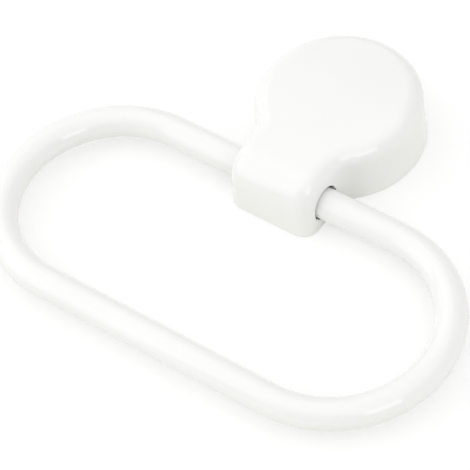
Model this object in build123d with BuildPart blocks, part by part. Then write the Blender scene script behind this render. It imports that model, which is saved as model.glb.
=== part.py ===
from build123d import *
import os
from math import cos, radians, sin, sqrt, tan

# Towel ring: a moulded housing clipped over a hidden wall plate, with a closed ring that swings in its lug.
# Frame: +X to the right and +Z up along the wall; the wall is the plane Y = 0 and the front faces -Y.
# The origin is the axis of the round head on the wall. Sizes are in millimetres and degrees.

# Ring
tube_diameter = 12.0
ring_straight = 100.0  # straight run between the end bends
ring_bend_radius = 41.0  # centreline of the end bends

# Bore that the ring swings in
bore_drop = 37.0  # head axis to bore axis
bore_height = 9.3  # wall to bore axis
bore_clearance = 0.8  # round a tube on the bore axis
ring_sit = 0.5  # bore axis to ring axis, as the ring lies back in the bore

# Housing
head_diameter = 64.5  # at the wall
head_depth = 24.0  # wall to front face
lug_width = 37.0  # at the wall
lug_reach = 12.5  # bore axis to the lug's end
neck_radius = 12.0  # hollow curve between head and lug
edge_radius = 6.0  # front edge and the lug's corners
lug_end_radius = 12.0  # front face turning down the lug's end
draft_angle = 1.5
wall = 2.6
web_thickness = 2.0
web_spacing = 18.0

# Wall plate
plate_thickness = 2.2
plate_clearance = 0.3  # to the inside of the housing
saddle_thickness = 2.4
saddle_spacing = 7.6
saddle_count = 4
saddle_wall = 1.5  # beside the tube
tab_drop = 3.5  # bore axis to the top of the tab that closes the slot
tab_root = 2.0  # on the plate
tab_clearance = 0.05
rib_thickness = 2.0
rib_height = 4.0  # from the wall

# Holes for the wall screws
screw_spacing = 36.0
screw_hole_diameter = 4.8
boss_diameter = 11.0
boss_height = 5.0  # from the wall

# Clips of the plate and catches in the housing
clip_angles = (0, 60, 120, 180)
clip_width = 8.0
clip_thickness = 1.8
clip_height = 14.0  # from the wall
clip_tip = 1.0  # flat nose of the hook
clip_clearance = 0.4
catch_height = 9.5  # wall to the face that the hook holds
catch_thickness = 2.5
catch_depth = 1.6

bore_radius = tube_diameter / 2 + bore_clearance
inner_depth = head_depth - wall
saddle_length = 2 * (bore_radius + saddle_wall)
screw_places = ((0, screw_spacing / 2), (0, -screw_spacing / 2))


def keyhole_plan(inset):
    """Round head with its lug on the wall plane, drawn in by the inset."""
    lug_end = bore_drop + lug_reach - inset
    with BuildSketch(Plane.XZ) as plan:
        Circle(head_diameter / 2 - inset)
        with Locations((0, -lug_end / 2)):
            Rectangle(lug_width - 2 * inset, lug_end)
        necks = plan.vertices().group_by(Axis.Y)[1]
        fillet(necks, radius=neck_radius + inset)
    return plan.sketch


def keyhole_form(inset, depth):
    """Drafted block over the plan, rounded down the lug's end, then along its front edge and corners."""
    with BuildPart() as form:
        extrude(keyhole_plan(inset), amount=depth)
        sides = form.faces().filter_by(Plane.XZ, reverse=True)
        draft(sides, neutral_plane=Plane.XZ, angle=draft_angle)
        front_end = form.faces().sort_by(Axis.Y)[0].edges().sort_by(Axis.Z)[0]
        fillet(front_end, radius=lug_end_radius - inset)
        front = form.faces().sort_by(Axis.Y)[0]
        end, end_round = form.faces().sort_by(Axis.Z)[:2]
        outline = front.edges() + end.edges() + end_round.edges()
        fillet(outline.filter_by(Axis.X, reverse=True), radius=edge_radius - inset)
    return form.part


def inner_radius(height):
    """Inside radius of the drafted head, at a height above the wall."""
    return head_diameter / 2 - wall - height * tan(radians(draft_angle))


def radial_plane(angle):
    """Plane through the head's axis: its X runs outwards at the angle, its Y away from the wall."""
    turn = radians(angle)
    return Plane(origin=(0, 0, 0), x_dir=(cos(turn), 0, sin(turn)), z_dir=(sin(turn), 0, -cos(turn)))


outer_form = keyhole_form(0, head_depth)
inner_form = keyhole_form(wall, inner_depth)
plate_form = keyhole_form(wall + plate_clearance, inner_depth - plate_clearance)
catch_lip = inner_radius(catch_height) - catch_depth

# Webs across the lug, which bear on the front of the tube
with BuildPart() as webs:
    web_middle = -(bore_height + inner_depth) / 2
    with Locations((-web_spacing / 2, web_middle, -bore_drop), (web_spacing / 2, web_middle, -bore_drop)):
        Box(web_thickness, inner_depth - bore_height, 2 * lug_reach)
    add(inner_form, mode=Mode.INTERSECT)

with BuildPart() as housing:
    add(outer_form)
    add(inner_form, mode=Mode.SUBTRACT)
    add(webs.part)
    for angle in clip_angles:
        with BuildSketch(radial_plane(angle)):
            catch_root = inner_radius(catch_height) + wall / 2
            catch_back = catch_height - catch_thickness
            with BuildLine():
                Polyline(
                    (catch_root, catch_back),
                    (catch_lip, catch_back + catch_depth / 2),
                    (catch_lip, catch_height),
                    (catch_root, catch_height),
                    close=True,
                )
            make_face()
        extrude(amount=clip_width / 2, both=True)
    # Slot that takes the ring from the back, with its round end on the bore axis
    with BuildSketch(Plane.YZ):
        with Locations((-bore_height, -bore_drop)):
            Circle(bore_radius)
        with Locations((-bore_height / 2, -bore_drop)):
            Rectangle(bore_height, 2 * bore_radius)
    extrude(amount=lug_width, both=True, mode=Mode.SUBTRACT)
housing.part.label = "housing"

# Tabs that close the housing's slots behind the tube, flush with the lug's sides
with BuildPart() as tabs:
    with BuildSketch(Plane.XZ):
        with Locations((-lug_width / 2, -bore_drop), (lug_width / 2, -bore_drop)):
            Rectangle(2 * (wall + plate_clearance + tab_root), 2 * (bore_radius - tab_clearance))
    extrude(amount=bore_height - tab_drop)
    add(outer_form, mode=Mode.INTERSECT)

with BuildPart() as wall_plate:
    extrude(keyhole_plan(wall), amount=plate_thickness)
    with BuildSketch(Plane.XZ):
        with Locations((0, -bore_drop)):
            with GridLocations(saddle_spacing, saddle_length, saddle_count, 1):
                Rectangle(saddle_thickness, saddle_length)
    extrude(amount=bore_height)
    with BuildSketch(Plane.XZ):
        spine_top = screw_spacing / 2
        spine_end = -bore_drop + saddle_length / 2
        with Locations((0, (spine_top + spine_end) / 2)):
            Rectangle(rib_thickness, spine_top - spine_end)
        Rectangle(2 * catch_lip - 2 * clip_clearance, rib_thickness)
    extrude(amount=rib_height)
    with BuildSketch(Plane.XZ):
        with Locations(*screw_places):
            Circle(boss_diameter / 2)
    extrude(amount=boss_height)
    add(plate_form, mode=Mode.INTERSECT)
    add(tabs.part)
    for angle in clip_angles:
        with BuildSketch(radial_plane(angle)):
            clip_face = catch_lip - clip_clearance
            hook_back = catch_height + clip_clearance
            hook_nose = sqrt(inner_radius(clip_height) ** 2 - (clip_width / 2) ** 2) - clip_clearance
            with BuildLine():
                Polyline(
                    (clip_face - clip_thickness, 0),
                    (clip_face, 0),
                    (clip_face, hook_back),
                    (hook_nose, hook_back),
                    (hook_nose, hook_back + clip_tip),
                    (clip_face, clip_height),
                    (clip_face - clip_thickness, clip_height),
                    close=True,
                )
            make_face()
        extrude(amount=clip_width / 2, both=True)
    with BuildSketch(Plane.YZ):
        with Locations((-bore_height, -bore_drop)):
            Circle(bore_radius)
    extrude(amount=lug_width, both=True, mode=Mode.SUBTRACT)
    with BuildSketch(Plane.XZ):
        with Locations(*screw_places):
            Circle(screw_hole_diameter / 2)
    extrude(amount=boss_height, mode=Mode.SUBTRACT)
wall_plate.part.label = "wall_plate"

with BuildPart() as ring:
    half_run = ring_straight / 2
    middle = -bore_drop - ring_bend_radius
    with BuildLine(Plane.XZ.offset(bore_height - ring_sit)) as centreline:
        Line((-half_run, -bore_drop), (half_run, -bore_drop))
        CenterArc((half_run, middle), ring_bend_radius, 90, -180)
        Line((half_run, middle - ring_bend_radius), (-half_run, middle - ring_bend_radius))
        CenterArc((-half_run, middle), ring_bend_radius, 270, -180)
    with BuildSketch(Plane(origin=centreline.line @ 0, z_dir=centreline.line % 0)):
        Circle(tube_diameter / 2)
    sweep()
ring.part.label = "ring"

os.makedirs("parts", exist_ok=True)
for piece in (housing, wall_plate, ring):
    export_step(piece.part, f"parts/{piece.part.label}.step")
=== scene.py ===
from math import cos, pi, radians, sin

import bpy
from mathutils import Matrix, Vector


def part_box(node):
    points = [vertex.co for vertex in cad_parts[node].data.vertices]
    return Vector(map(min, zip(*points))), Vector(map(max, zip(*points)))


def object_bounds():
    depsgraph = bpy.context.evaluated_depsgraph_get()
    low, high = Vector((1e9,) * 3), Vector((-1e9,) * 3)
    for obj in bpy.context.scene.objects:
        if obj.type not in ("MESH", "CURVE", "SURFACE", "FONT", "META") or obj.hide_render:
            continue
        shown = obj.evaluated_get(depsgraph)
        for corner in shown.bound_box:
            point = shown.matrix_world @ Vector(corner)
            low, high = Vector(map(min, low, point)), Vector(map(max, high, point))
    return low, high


# Looks of a white plastic towel ring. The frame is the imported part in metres: +X runs right along the
# wall, +Z up it, the wall's face is Y = 0 and the front looks along -Y. Angles are in degrees.
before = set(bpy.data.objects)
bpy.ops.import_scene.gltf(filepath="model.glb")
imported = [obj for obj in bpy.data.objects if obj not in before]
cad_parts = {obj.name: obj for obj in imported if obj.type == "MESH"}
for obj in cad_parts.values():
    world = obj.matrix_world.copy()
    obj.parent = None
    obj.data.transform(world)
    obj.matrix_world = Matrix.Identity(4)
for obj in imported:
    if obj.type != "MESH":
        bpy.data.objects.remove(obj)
cad_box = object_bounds()
scene = bpy.context.scene

RIGHT = Vector((1, 0, 0))
UP = Vector((0, 0, 1))
INTO_WALL = Vector((0, 1, 0))

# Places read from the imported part
RING_LOW, RING_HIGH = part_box("ring")
RING_MID_Y = (RING_LOW.y + RING_HIGH.y)/2
PART_MIDDLE = Vector((0, 0, (cad_box[0].z + cad_box[1].z)/2))

# Camera, at the photograph's view
CAMERA_AIM = Vector((-0.0021, RING_MID_Y, -0.0661))
CAMERA_DISTANCE = 0.859
CAMERA_RISE = 51.39
CAMERA_TURN = -46.94
CAMERA_ROLL = -9.73
CAMERA_LENS = 180.46  # focal length in millimetres

# Plastic: its two whites, and the ends of the roughness of polished and of satin faces
PALE_WHITE = (0.905, 0.905, 0.897)
DEEP_WHITE = (0.890, 0.890, 0.881)
POLISHED = (0.07, 0.11)
SATIN = (0.46, 0.56)
PLASTIC_IOR = 1.58

# Moulded surface: drift of tone, patches of duller polish, waves of the polish, parting line and grain
FLOW_SIZE = 0.050
FLOW_SPREAD = (0.35, 0.65)  # noise that gives the pale and the deep white
PATCHES_PER_FLOW = 3.0
PATCH_SPREAD = (0.3, 0.7)  # noise that gives the smooth and the dull polish
WAVE_SIZE = 0.0045
WAVE_DEPTH = 0.000006
PARTING_WIDTH = 0.00022
PARTING_HEIGHT = 0.00002
GRAIN_SIZE = 0.0007
GRAIN_DEPTH = 0.00003

# Tabs of the wall plate: their outer ends, which show, lie further out and lower than these
TAB_INSIDE = 0.0170
TAB_TOP = -0.028

# Wall and room, where a white of 1 is the white of the picture
WALL_GAP = 0.0003  # behind the part's back
WALL_REACH = 3.0  # middle to edge
WALL_GLOW = 0.55  # white that no shadow takes away
WALL_SHADE = 0.46  # white that shadows darken
WALL_PAINT = (0.885, 0.885, 0.815)  # throws a warm light back on the part
ROOM_WHITE = 0.58  # all round
SIDE_WHITE = 0.15  # added to both sides
SIDE_TURN = 18
REAR_WHITE = 0.36  # added behind the wall

# Lamps: the place of each, its width and height, and its white
CEILING_PLACE = Vector((-0.22, -1.5, -0.10))
CEILING_SIZE = (3.15, 2.3)
CEILING_WHITE = 0.60
LEFT_PLACE = Vector((-1.35, -0.75, 0.675))
LEFT_SIZE = (1.75, 1.5)
LEFT_WHITE = 0.43
NEAR_LEFT_PLACE = Vector((-1.0, -0.63, -0.96))
NEAR_LEFT_AIM = Vector((0, NEAR_LEFT_PLACE.y, -0.06))
NEAR_LEFT_SIZE = (1.3, 1.15)
NEAR_LEFT_WHITE = 0.96
WINDOW_DISTANCE = 1.5  # from the part's middle
WINDOW_RISE = 30
WINDOW_TURN = -23
WINDOW_SIZE = (0.65, 0.65)
WINDOW_WHITE = 1.9


def bearing(rise, turn):
    """Unit vector that stands off the wall by rise degrees, turned by turn degrees from +X towards +Z."""
    lift = radians(rise)
    swing = radians(turn)
    return Vector((cos(lift)*cos(swing), -sin(lift), cos(lift)*sin(swing)))


def facing(place, aim, across):
    """Matrix that stands at place with its -Z towards aim and its X along across, as far as it can."""
    z = (place - aim).normalized()
    y = z.cross(across).normalized()
    matrix = Matrix((y.cross(z), y, z)).transposed().to_4x4()
    matrix.translation = place
    return matrix


def add_node(tree, kind, inputs=None, **settings):
    """New node with its settings. Each input is a value, or a socket that is linked to it."""
    node = tree.nodes.new(kind)
    for name, value in settings.items():
        setattr(node, name, value)
    for name, value in (inputs or {}).items():
        if isinstance(value, bpy.types.NodeSocket):
            tree.links.new(value, node.inputs[name])
        else:
            node.inputs[name].default_value = value
    return node


def math_node(tree, operation, first, second=0.0):
    """Output of a math node on two values or sockets."""
    return add_node(tree, "ShaderNodeMath", {0: first, 1: second}, operation=operation).outputs[0]


def noise(tree, place, scale, detail):
    """Output of a soft noise over the place, with the number of its finer layers."""
    inputs = {"Vector": place, "Scale": scale, "Detail": detail}
    return add_node(tree, "ShaderNodeTexNoise", inputs).outputs[0]


def stretch(tree, value, source, target=(0.0, 1.0), **settings):
    """Output that carries a value from the source range to the target range, and holds it at the ends."""
    inputs = {"Value": value, "From Min": source[0], "From Max": source[1],
              "To Min": target[0], "To Max": target[1]}
    return add_node(tree, "ShaderNodeMapRange", inputs, **settings).outputs[0]


def new_material(name):
    """Material with an empty node tree, and that tree."""
    material = bpy.data.materials.new(name)
    material.use_nodes = True
    material.node_tree.nodes.clear()
    return material, material.node_tree


def moulded_skin_group():
    """Skin of a moulded plastic face: a slow drift of tone where the plastic flowed, patches that the
    mould's polish left a little duller, and the long shallow waves of that polish as a height."""
    group = bpy.data.node_groups.new("moulded skin", "ShaderNodeTree")
    inputs = {"Place": "Vector", "Pale": "Color", "Deep": "Color", "Smooth": "Float", "Dull": "Float",
              "Flow Scale": "Float", "Wave Scale": "Float"}
    outputs = {"Color": "Color", "Roughness": "Float", "Height": "Float"}
    for in_out, sockets in (("INPUT", inputs), ("OUTPUT", outputs)):
        for name, kind in sockets.items():
            group.interface.new_socket(name, in_out=in_out, socket_type=f"NodeSocket{kind}")
    given = add_node(group, "NodeGroupInput").outputs
    flow = noise(group, given["Place"], given["Flow Scale"], detail=2.0)
    tone = add_node(group, "ShaderNodeMix",
                    {"Factor": stretch(group, flow, FLOW_SPREAD), "A": given["Pale"], "B": given["Deep"]},
                    data_type="RGBA")
    patch_scale = math_node(group, "MULTIPLY", given["Flow Scale"], PATCHES_PER_FLOW)
    patches = noise(group, given["Place"], patch_scale, detail=4.0)
    polish = stretch(group, patches, PATCH_SPREAD, (given["Smooth"], given["Dull"]))
    waves = noise(group, given["Place"], given["Wave Scale"], detail=1.0)
    add_node(group, "NodeGroupOutput",
             {"Color": tone.outputs["Result"], "Roughness": polish, "Height": waves})
    return group


def skin_nodes(tree, group, place, smooth, dull):
    """Outputs of the moulded skin in one material. Smooth and dull are the ends of its roughness."""
    inputs = {"Place": place, "Pale": (*PALE_WHITE, 1), "Deep": (*DEEP_WHITE, 1), "Smooth": smooth,
              "Dull": dull, "Flow Scale": 1/FLOW_SIZE, "Wave Scale": 1/WAVE_SIZE}
    return add_node(tree, "ShaderNodeGroup", inputs, node_tree=group).outputs


def plastic_shader(tree, color, roughness, normal):
    """Principled shader of a hard opaque plastic, joined to the material's output."""
    shader = add_node(tree, "ShaderNodeBsdfPrincipled",
                      {"Base Color": color, "Roughness": roughness, "Normal": normal, "IOR": PLASTIC_IOR})
    add_node(tree, "ShaderNodeOutputMaterial", {"Surface": shader.outputs[0]})


def housing_white(group):
    """Polished white of the housing."""
    material, tree = new_material("housing white")
    place = add_node(tree, "ShaderNodeTexCoord").outputs["Object"]
    skin = skin_nodes(tree, group, place, *POLISHED)
    waves = add_node(tree, "ShaderNodeBump", {"Height": skin["Height"], "Distance": WAVE_DEPTH})
    plastic_shader(tree, skin["Color"], skin["Roughness"], waves.outputs[0])
    return material


def ring_white(group):
    """Polished white of the ring, with the hair line where the two halves of its mould met."""
    material, tree = new_material("ring white")
    place = add_node(tree, "ShaderNodeTexCoord").outputs["Object"]
    skin = skin_nodes(tree, group, place, *POLISHED)
    depth = add_node(tree, "ShaderNodeSeparateXYZ", {0: place}).outputs["Y"]
    off_line = math_node(tree, "ABSOLUTE", math_node(tree, "SUBTRACT", depth, RING_MID_Y))
    line = stretch(tree, off_line, (0.0, PARTING_WIDTH/2), (1.0, 0.0), interpolation_type="SMOOTHSTEP")
    waves = add_node(tree, "ShaderNodeBump", {"Height": skin["Height"], "Distance": WAVE_DEPTH})
    ridge = add_node(tree, "ShaderNodeBump",
                     {"Height": line, "Distance": PARTING_HEIGHT, "Normal": waves.outputs[0]})
    plastic_shader(tree, skin["Color"], skin["Roughness"], ridge.outputs[0])
    return material


def plate_white(group):
    """Satin white of the hidden plate, from a mould left with a fine spark grain. Its tabs, which close
    the lug's sides behind the ring, are polished like the housing."""
    material, tree = new_material("plate white")
    place = add_node(tree, "ShaderNodeTexCoord").outputs["Object"]
    axes = add_node(tree, "ShaderNodeSeparateXYZ", {0: place}).outputs
    beside = math_node(tree, "GREATER_THAN", math_node(tree, "ABSOLUTE", axes["X"]), TAB_INSIDE)
    below = math_node(tree, "LESS_THAN", axes["Z"], TAB_TOP)
    tab = math_node(tree, "MULTIPLY", beside, below)
    smooth, dull = (stretch(tree, tab, (0.0, 1.0), ends) for ends in zip(SATIN, POLISHED))
    skin = skin_nodes(tree, group, place, smooth, dull)
    grain = add_node(tree, "ShaderNodeBump",
                     {"Height": noise(tree, place, 1/GRAIN_SIZE, detail=3.0), "Distance": GRAIN_DEPTH,
                      "Strength": math_node(tree, "SUBTRACT", 1.0, tab)})
    plastic_shader(tree, skin["Color"], skin["Roughness"], grain.outputs[0])
    return material


def wall_white():
    """Pale backdrop. Camera, glossy and transmission rays see a white that keeps a faint shadow, other
    rays a plain warm paint. The wall is clear from behind, and for a ray that has come through it, so the
    part's back can be seen and lit."""
    material, tree = new_material("wall white")
    path = add_node(tree, "ShaderNodeLightPath").outputs
    seen = math_node(tree, "MAXIMUM", path["Is Camera Ray"], path["Is Glossy Ray"])
    seen = math_node(tree, "MAXIMUM", seen, path["Is Transmission Ray"])
    behind = add_node(tree, "ShaderNodeNewGeometry").outputs["Backfacing"]
    through = math_node(tree, "GREATER_THAN", path["Transparent Depth"], 0.0)
    gone = math_node(tree, "MAXIMUM", behind, through)
    paint = add_node(tree, "ShaderNodeBsdfDiffuse", {"Color": (*WALL_PAINT, 1)})
    shade = add_node(tree, "ShaderNodeBsdfDiffuse", {"Color": (WALL_SHADE, WALL_SHADE, WALL_SHADE, 1)})
    glow = add_node(tree, "ShaderNodeEmission", {"Strength": WALL_GLOW})
    white = add_node(tree, "ShaderNodeAddShader", {0: shade.outputs[0], 1: glow.outputs[0]})
    front = add_node(tree, "ShaderNodeMixShader", {0: seen, 1: paint.outputs[0], 2: white.outputs[0]})
    clear = add_node(tree, "ShaderNodeBsdfTransparent")
    both = add_node(tree, "ShaderNodeMixShader", {0: gone, 1: front.outputs[0], 2: clear.outputs[0]})
    add_node(tree, "ShaderNodeOutputMaterial", {"Surface": both.outputs[0]})
    return material


def add_wall():
    """Flat square just behind the part's back, facing the front."""
    corners = [(x*WALL_REACH, WALL_GAP, z*WALL_REACH) for x, z in ((-1, -1), (1, -1), (1, 1), (-1, 1))]
    mesh = bpy.data.meshes.new("wall")
    mesh.from_pydata(corners, [], [(0, 1, 2, 3)])
    mesh.materials.append(wall_white())
    wall = bpy.data.objects.new("wall", mesh)
    scene.collection.objects.link(wall)


def add_world():
    """Plain room with pale side walls: its white rises with the square of the cosine to the side. Behind
    the wall it rises with the cosine to the rear, which only the part's back sees."""
    world = bpy.data.worlds.new("room")
    world.use_nodes = True
    tree = world.node_tree
    way = add_node(tree, "ShaderNodeTexCoord").outputs["Generated"]
    to_side = add_node(tree, "ShaderNodeVectorMath", {0: way, 1: bearing(0, SIDE_TURN)},
                       operation="DOT_PRODUCT").outputs["Value"]
    side = math_node(tree, "MULTIPLY", math_node(tree, "MULTIPLY", to_side, to_side), SIDE_WHITE)
    to_rear = add_node(tree, "ShaderNodeSeparateXYZ", {0: way}).outputs["Y"]
    rear = math_node(tree, "MULTIPLY", math_node(tree, "MAXIMUM", to_rear, 0.0), REAR_WHITE)
    white = math_node(tree, "ADD", math_node(tree, "ADD", side, rear), ROOM_WHITE)
    background = tree.nodes["Background"]
    background.inputs["Color"].default_value = (1, 1, 1, 1)
    tree.links.new(white, background.inputs["Strength"])
    scene.world = world


def add_softbox(name, place, aim, across, size, white):
    """Rectangular lamp that faces aim, its width along across. A white of 1 looks white when seen."""
    width, height = size
    lamp = bpy.data.lights.new(name, "AREA")
    lamp.shape = "RECTANGLE"
    lamp.size = width
    lamp.size_y = height
    lamp.energy = white*pi*width*height
    box = bpy.data.objects.new(name, lamp)
    box.matrix_world = facing(place, aim, across)
    scene.collection.objects.link(box)


def add_camera():
    """Camera that looks at its aim from its bearing, set level with the wall and then rolled."""
    back = bearing(CAMERA_RISE, CAMERA_TURN)
    across = Matrix.Rotation(radians(CAMERA_ROLL), 3, back) @ back.cross(INTO_WALL)
    camera = bpy.data.objects.new("camera", bpy.data.cameras.new("camera"))
    camera.data.lens = CAMERA_LENS
    camera.matrix_world = facing(CAMERA_AIM + back*CAMERA_DISTANCE, CAMERA_AIM, across)
    scene.collection.objects.link(camera)
    scene.camera = camera


skin_group = moulded_skin_group()
finishes = {"housing": housing_white(skin_group), "ring": ring_white(skin_group),
            "wall_plate": plate_white(skin_group)}
for node_name, finish in finishes.items():
    node_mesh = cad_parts[node_name].data
    node_mesh.materials.clear()
    node_mesh.materials.append(finish)

add_wall()
add_world()
add_softbox("ceiling", CEILING_PLACE, CEILING_PLACE + INTO_WALL, RIGHT, CEILING_SIZE, CEILING_WHITE)
add_softbox("left", LEFT_PLACE, LEFT_PLACE + RIGHT, UP, LEFT_SIZE, LEFT_WHITE)
add_softbox("near left", NEAR_LEFT_PLACE, NEAR_LEFT_AIM, INTO_WALL, NEAR_LEFT_SIZE, NEAR_LEFT_WHITE)
window_place = PART_MIDDLE + WINDOW_DISTANCE*bearing(WINDOW_RISE, WINDOW_TURN)
add_softbox("window", window_place, PART_MIDDLE, INTO_WALL, WINDOW_SIZE, WINDOW_WHITE)
add_camera()
scene.view_settings.view_transform = "Standard"
